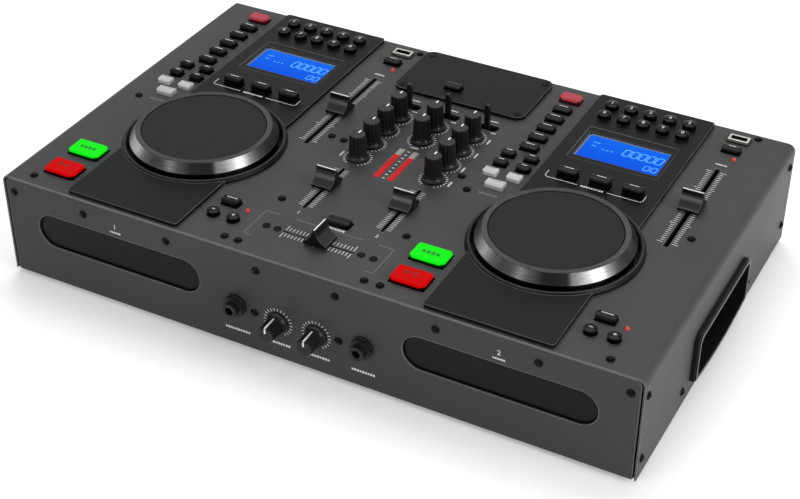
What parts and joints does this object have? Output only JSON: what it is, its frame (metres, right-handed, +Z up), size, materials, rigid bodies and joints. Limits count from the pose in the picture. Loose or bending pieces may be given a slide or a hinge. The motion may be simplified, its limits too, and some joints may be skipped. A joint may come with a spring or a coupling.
{
  "type": "dj mixer",
  "caption": "Tabletop dj workstation: disc and memory-stick players on both sides of a mixer, with jog wheels, faders, knobs, keys, displays, disc trays and carrying handles.",
  "frame": {"origin": "middle of the housing's footprint, on the plane that the feet stand on", "axes": "+X to the user's right, +Y away from the user towards the rear panel, +Z up"},
  "size_m": [0.5128, 0.3435, 0.109],
  "materials": {
    "housing_paint": "fine textured dark grey paint",
    "deck_plastic": "smooth near-black, half gloss",
    "display_glass": "clear window over a blue backlight",
    "lamp_plastic": "moulded red lens",
    "foot_rubber": "matt black",
    "black_screw": "blackened steel",
    "inner_steel": "plain sheet steel",
    "board_green": "glass fibre board with solder resist",
    "jog_metal": "turned, satin silver",
    "jog_disc": "fine matt, with turned rings",
    "cue_green": "translucent green, lit from below",
    "play_red": "translucent red, lit from below",
    "eject_red": "translucent red",
    "white_key": "soft touch white",
    "key_plastic": "soft touch black",
    "black_plastic": "moulded black"
  },
  "bodies": {
    "housing": {"base_tray": "housing_paint", "top_cover": "housing_paint", "front_panel": "housing_paint", "deck_plates": "deck_plastic", "mixer_plate": "deck_plastic", "displays": "display_glass", "carry_handles": "black_plastic", "feet": "foot_rubber", "front_jacks": "black_plastic", "usb_sockets": "black_plastic", "panel_screws": "black_screw", "rear_sockets": "black_plastic", "indicators": "lamp_plastic", "disc_drives": "inner_steel", "circuit_boards": "board_green", "control_bodies": "inner_steel"},
    "jog_a": {"jog_wheel_a": "jog_metal", "jog_cap_a": "jog_disc"},
    "pitch_a": {"pitch_fader_a": "black_plastic"},
    "jog_b": {"jog_wheel_b": "jog_metal", "jog_cap_b": "jog_disc"},
    "pitch_b": {"pitch_fader_b": "black_plastic"},
    "line_a": {"line_fader_a": "black_plastic"},
    "line_b": {"line_fader_b": "black_plastic"},
    "crossfade": {"crossfader": "black_plastic"},
    "gain_a": {"gain_knob_a": "black_plastic"},
    "treble_a": {"treble_knob_a": "black_plastic"},
    "mid_a": {"mid_knob_a": "black_plastic"},
    "bass_a": {"bass_knob_a": "black_plastic"},
    "gain_b": {"gain_knob_b": "black_plastic"},
    "treble_b": {"treble_knob_b": "black_plastic"},
    "mid_b": {"mid_knob_b": "black_plastic"},
    "bass_b": {"bass_knob_b": "black_plastic"},
    "master": {"master_knob": "black_plastic"},
    "monitor": {"monitor_knob": "black_plastic"},
    "mic": {"mic_knob": "black_plastic"},
    "phones": {"phones_knob": "black_plastic"},
    "input_toggle_a": {"input_switch_a": "black_plastic"},
    "monitor_toggle": {"monitor_switch": "black_plastic"},
    "input_toggle_b": {"input_switch_b": "black_plastic"},
    "tray_a": {"disc_tray_a": "black_plastic"},
    "tray_b": {"disc_tray_b": "black_plastic"},
    "power": {"power_rocker": "black_plastic"},
    "cue_a": {"cue_key_a": "cue_green"},
    "play_a": {"play_key_a": "play_red"},
    "eject_a": {"eject_key_a": "eject_red"},
    "side_a": {"side_keys_a": "key_plastic"},
    "white_a": {"white_keys_a": "white_key"},
    "number_a": {"number_keys_a": "key_plastic"},
    "loop_a": {"loop_keys_a": "key_plastic"},
    "pitch_key_set_a": {"pitch_keys_a": "key_plastic"},
    "cue_b": {"cue_key_b": "cue_green"},
    "play_b": {"play_key_b": "play_red"},
    "eject_b": {"eject_key_b": "eject_red"},
    "side_b": {"side_keys_b": "key_plastic"},
    "white_b": {"white_keys_b": "white_key"},
    "number_b": {"number_keys_b": "key_plastic"},
    "loop_b": {"loop_keys_b": "key_plastic"},
    "pitch_key_set_b": {"pitch_keys_b": "key_plastic"},
    "mixer_key_set": {"mixer_keys": "key_plastic"}
  },
  "joints": [
    {"name": "jog_a_turn", "type": "hinge", "parent": "housing", "child": "jog_a", "pos_m": [-0.14495, -0.049, 0.096], "axis": [0, 0, 1], "continuous": true},
    {"name": "pitch_a_slide", "type": "slide", "parent": "housing", "child": "pitch_a", "axis": [0, 1, 0], "range_m": [-0.0478, 0.0522]},
    {"name": "jog_b_turn", "type": "hinge", "parent": "housing", "child": "jog_b", "pos_m": [0.14305, -0.049, 0.096], "axis": [0, 0, 1], "continuous": true},
    {"name": "pitch_b_slide", "type": "slide", "parent": "housing", "child": "pitch_b", "axis": [0, 1, 0], "range_m": [-0.0478, 0.0522]},
    {"name": "line_a_slide", "type": "slide", "parent": "housing", "child": "line_a", "axis": [0, 1, 0], "range_m": [-0.031, 0.023]},
    {"name": "line_b_slide", "type": "slide", "parent": "housing", "child": "line_b", "axis": [0, 1, 0], "range_m": [-0.031, 0.023]},
    {"name": "crossfade_slide", "type": "slide", "parent": "housing", "child": "crossfade", "axis": [1, 0, 0], "range_m": [-0.0275, 0.0245]},
    {"name": "gain_a_turn", "type": "hinge", "parent": "housing", "child": "gain_a", "pos_m": [-0.03195, 0.0512, 0.098], "axis": [0, 0, 1], "range_deg": [-150, 150]},
    {"name": "treble_a_turn", "type": "hinge", "parent": "housing", "child": "treble_a", "pos_m": [-0.03195, 0.0293, 0.098], "axis": [0, 0, 1], "range_deg": [-150, 150]},
    {"name": "mid_a_turn", "type": "hinge", "parent": "housing", "child": "mid_a", "pos_m": [-0.03195, 0.0074, 0.098], "axis": [0, 0, 1], "range_deg": [-150, 150]},
    {"name": "bass_a_turn", "type": "hinge", "parent": "housing", "child": "bass_a", "pos_m": [-0.03195, -0.0145, 0.098], "axis": [0, 0, 1], "range_deg": [-150, 150]},
    {"name": "gain_b_turn", "type": "hinge", "parent": "housing", "child": "gain_b", "pos_m": [0.03105, 0.0512, 0.098], "axis": [0, 0, 1], "range_deg": [-150, 150]},
    {"name": "treble_b_turn", "type": "hinge", "parent": "housing", "child": "treble_b", "pos_m": [0.03105, 0.0293, 0.098], "axis": [0, 0, 1], "range_deg": [-150, 150]},
    {"name": "mid_b_turn", "type": "hinge", "parent": "housing", "child": "mid_b", "pos_m": [0.03105, 0.0074, 0.098], "axis": [0, 0, 1], "range_deg": [-150, 150]},
    {"name": "bass_b_turn", "type": "hinge", "parent": "housing", "child": "bass_b", "pos_m": [0.03105, -0.0145, 0.098], "axis": [0, 0, 1], "range_deg": [-150, 150]},
    {"name": "master_turn", "type": "hinge", "parent": "housing", "child": "master", "pos_m": [-0.00095, 0.0512, 0.098], "axis": [0, 0, 1], "range_deg": [-150, 150]},
    {"name": "monitor_turn", "type": "hinge", "parent": "housing", "child": "monitor", "pos_m": [-0.00095, 0.0293, 0.098], "axis": [0, 0, 1], "range_deg": [-150, 150]},
    {"name": "mic_turn", "type": "hinge", "parent": "housing", "child": "mic", "pos_m": [-0.01755, -0.1655, 0.0358], "axis": [0, 1, 0], "range_deg": [-150, 150]},
    {"name": "phones_turn", "type": "hinge", "parent": "housing", "child": "phones", "pos_m": [0.01325, -0.1655, 0.0358], "axis": [0, 1, 0], "range_deg": [-150, 150]},
    {"name": "input_switch_a_tilt", "type": "hinge", "parent": "housing", "child": "input_toggle_a", "pos_m": [-0.03325, 0.071, 0.079], "axis": [0, 1, 0], "range_deg": [-14, 14]},
    {"name": "monitor_switch_tilt", "type": "hinge", "parent": "housing", "child": "monitor_toggle", "pos_m": [0.00055, 0.071, 0.079], "axis": [0, 1, 0], "range_deg": [-14, 14]},
    {"name": "input_switch_b_tilt", "type": "hinge", "parent": "housing", "child": "input_toggle_b", "pos_m": [0.03405, 0.071, 0.079], "axis": [0, 1, 0], "range_deg": [-14, 14]},
    {"name": "tray_a_slide", "type": "slide", "parent": "housing", "child": "tray_a", "axis": [0, -1, 0], "range_m": [0, 0.135]},
    {"name": "tray_b_slide", "type": "slide", "parent": "housing", "child": "tray_b", "axis": [0, -1, 0], "range_m": [0, 0.135]},
    {"name": "power_tilt", "type": "hinge", "parent": "housing", "child": "power", "pos_m": [0.16975, 0.154, 0.044], "axis": [1, 0, 0], "range_deg": [0, 16]},
    {"name": "cue_a_press", "type": "slide", "parent": "housing", "child": "cue_a", "axis": [0, 0, -1], "range_m": [0, 0.0015], "stiffness_N_per_m": 600, "springref_m": -0.0012},
    {"name": "play_a_press", "type": "slide", "parent": "housing", "child": "play_a", "axis": [0, 0, -1], "range_m": [0, 0.0015], "stiffness_N_per_m": 600, "springref_m": -0.0012},
    {"name": "eject_a_press", "type": "slide", "parent": "housing", "child": "eject_a", "axis": [0, 0, -1], "range_m": [0, 0.0015], "stiffness_N_per_m": 600, "springref_m": -0.0012},
    {"name": "side_a_press", "type": "slide", "parent": "housing", "child": "side_a", "axis": [0, 0, -1], "range_m": [0, 0.0015], "stiffness_N_per_m": 600, "springref_m": -0.0012},
    {"name": "white_a_press", "type": "slide", "parent": "housing", "child": "white_a", "axis": [0, 0, -1], "range_m": [0, 0.0015], "stiffness_N_per_m": 600, "springref_m": -0.0012},
    {"name": "number_a_press", "type": "slide", "parent": "housing", "child": "number_a", "axis": [0, 0, -1], "range_m": [0, 0.0015], "stiffness_N_per_m": 600, "springref_m": -0.0012},
    {"name": "loop_a_press", "type": "slide", "parent": "housing", "child": "loop_a", "axis": [0, 0, -1], "range_m": [0, 0.0015], "stiffness_N_per_m": 600, "springref_m": -0.0012},
    {"name": "pitch_keys_a_press", "type": "slide", "parent": "housing", "child": "pitch_key_set_a", "axis": [0, 0, -1], "range_m": [0, 0.0015], "stiffness_N_per_m": 600, "springref_m": -0.0012},
    {"name": "cue_b_press", "type": "slide", "parent": "housing", "child": "cue_b", "axis": [0, 0, -1], "range_m": [0, 0.0015], "stiffness_N_per_m": 600, "springref_m": -0.0012},
    {"name": "play_b_press", "type": "slide", "parent": "housing", "child": "play_b", "axis": [0, 0, -1], "range_m": [0, 0.0015], "stiffness_N_per_m": 600, "springref_m": -0.0012},
    {"name": "eject_b_press", "type": "slide", "parent": "housing", "child": "eject_b", "axis": [0, 0, -1], "range_m": [0, 0.0015], "stiffness_N_per_m": 600, "springref_m": -0.0012},
    {"name": "side_b_press", "type": "slide", "parent": "housing", "child": "side_b", "axis": [0, 0, -1], "range_m": [0, 0.0015], "stiffness_N_per_m": 600, "springref_m": -0.0012},
    {"name": "white_b_press", "type": "slide", "parent": "housing", "child": "white_b", "axis": [0, 0, -1], "range_m": [0, 0.0015], "stiffness_N_per_m": 600, "springref_m": -0.0012},
    {"name": "number_b_press", "type": "slide", "parent": "housing", "child": "number_b", "axis": [0, 0, -1], "range_m": [0, 0.0015], "stiffness_N_per_m": 600, "springref_m": -0.0012},
    {"name": "loop_b_press", "type": "slide", "parent": "housing", "child": "loop_b", "axis": [0, 0, -1], "range_m": [0, 0.0015], "stiffness_N_per_m": 600, "springref_m": -0.0012},
    {"name": "pitch_keys_b_press", "type": "slide", "parent": "housing", "child": "pitch_key_set_b", "axis": [0, 0, -1], "range_m": [0, 0.0015], "stiffness_N_per_m": 600, "springref_m": -0.0012},
    {"name": "mixer_keys_press", "type": "slide", "parent": "housing", "child": "mixer_key_set", "axis": [0, 0, -1], "range_m": [0, 0.0015], "stiffness_N_per_m": 600, "springref_m": -0.0012}
  ]
}
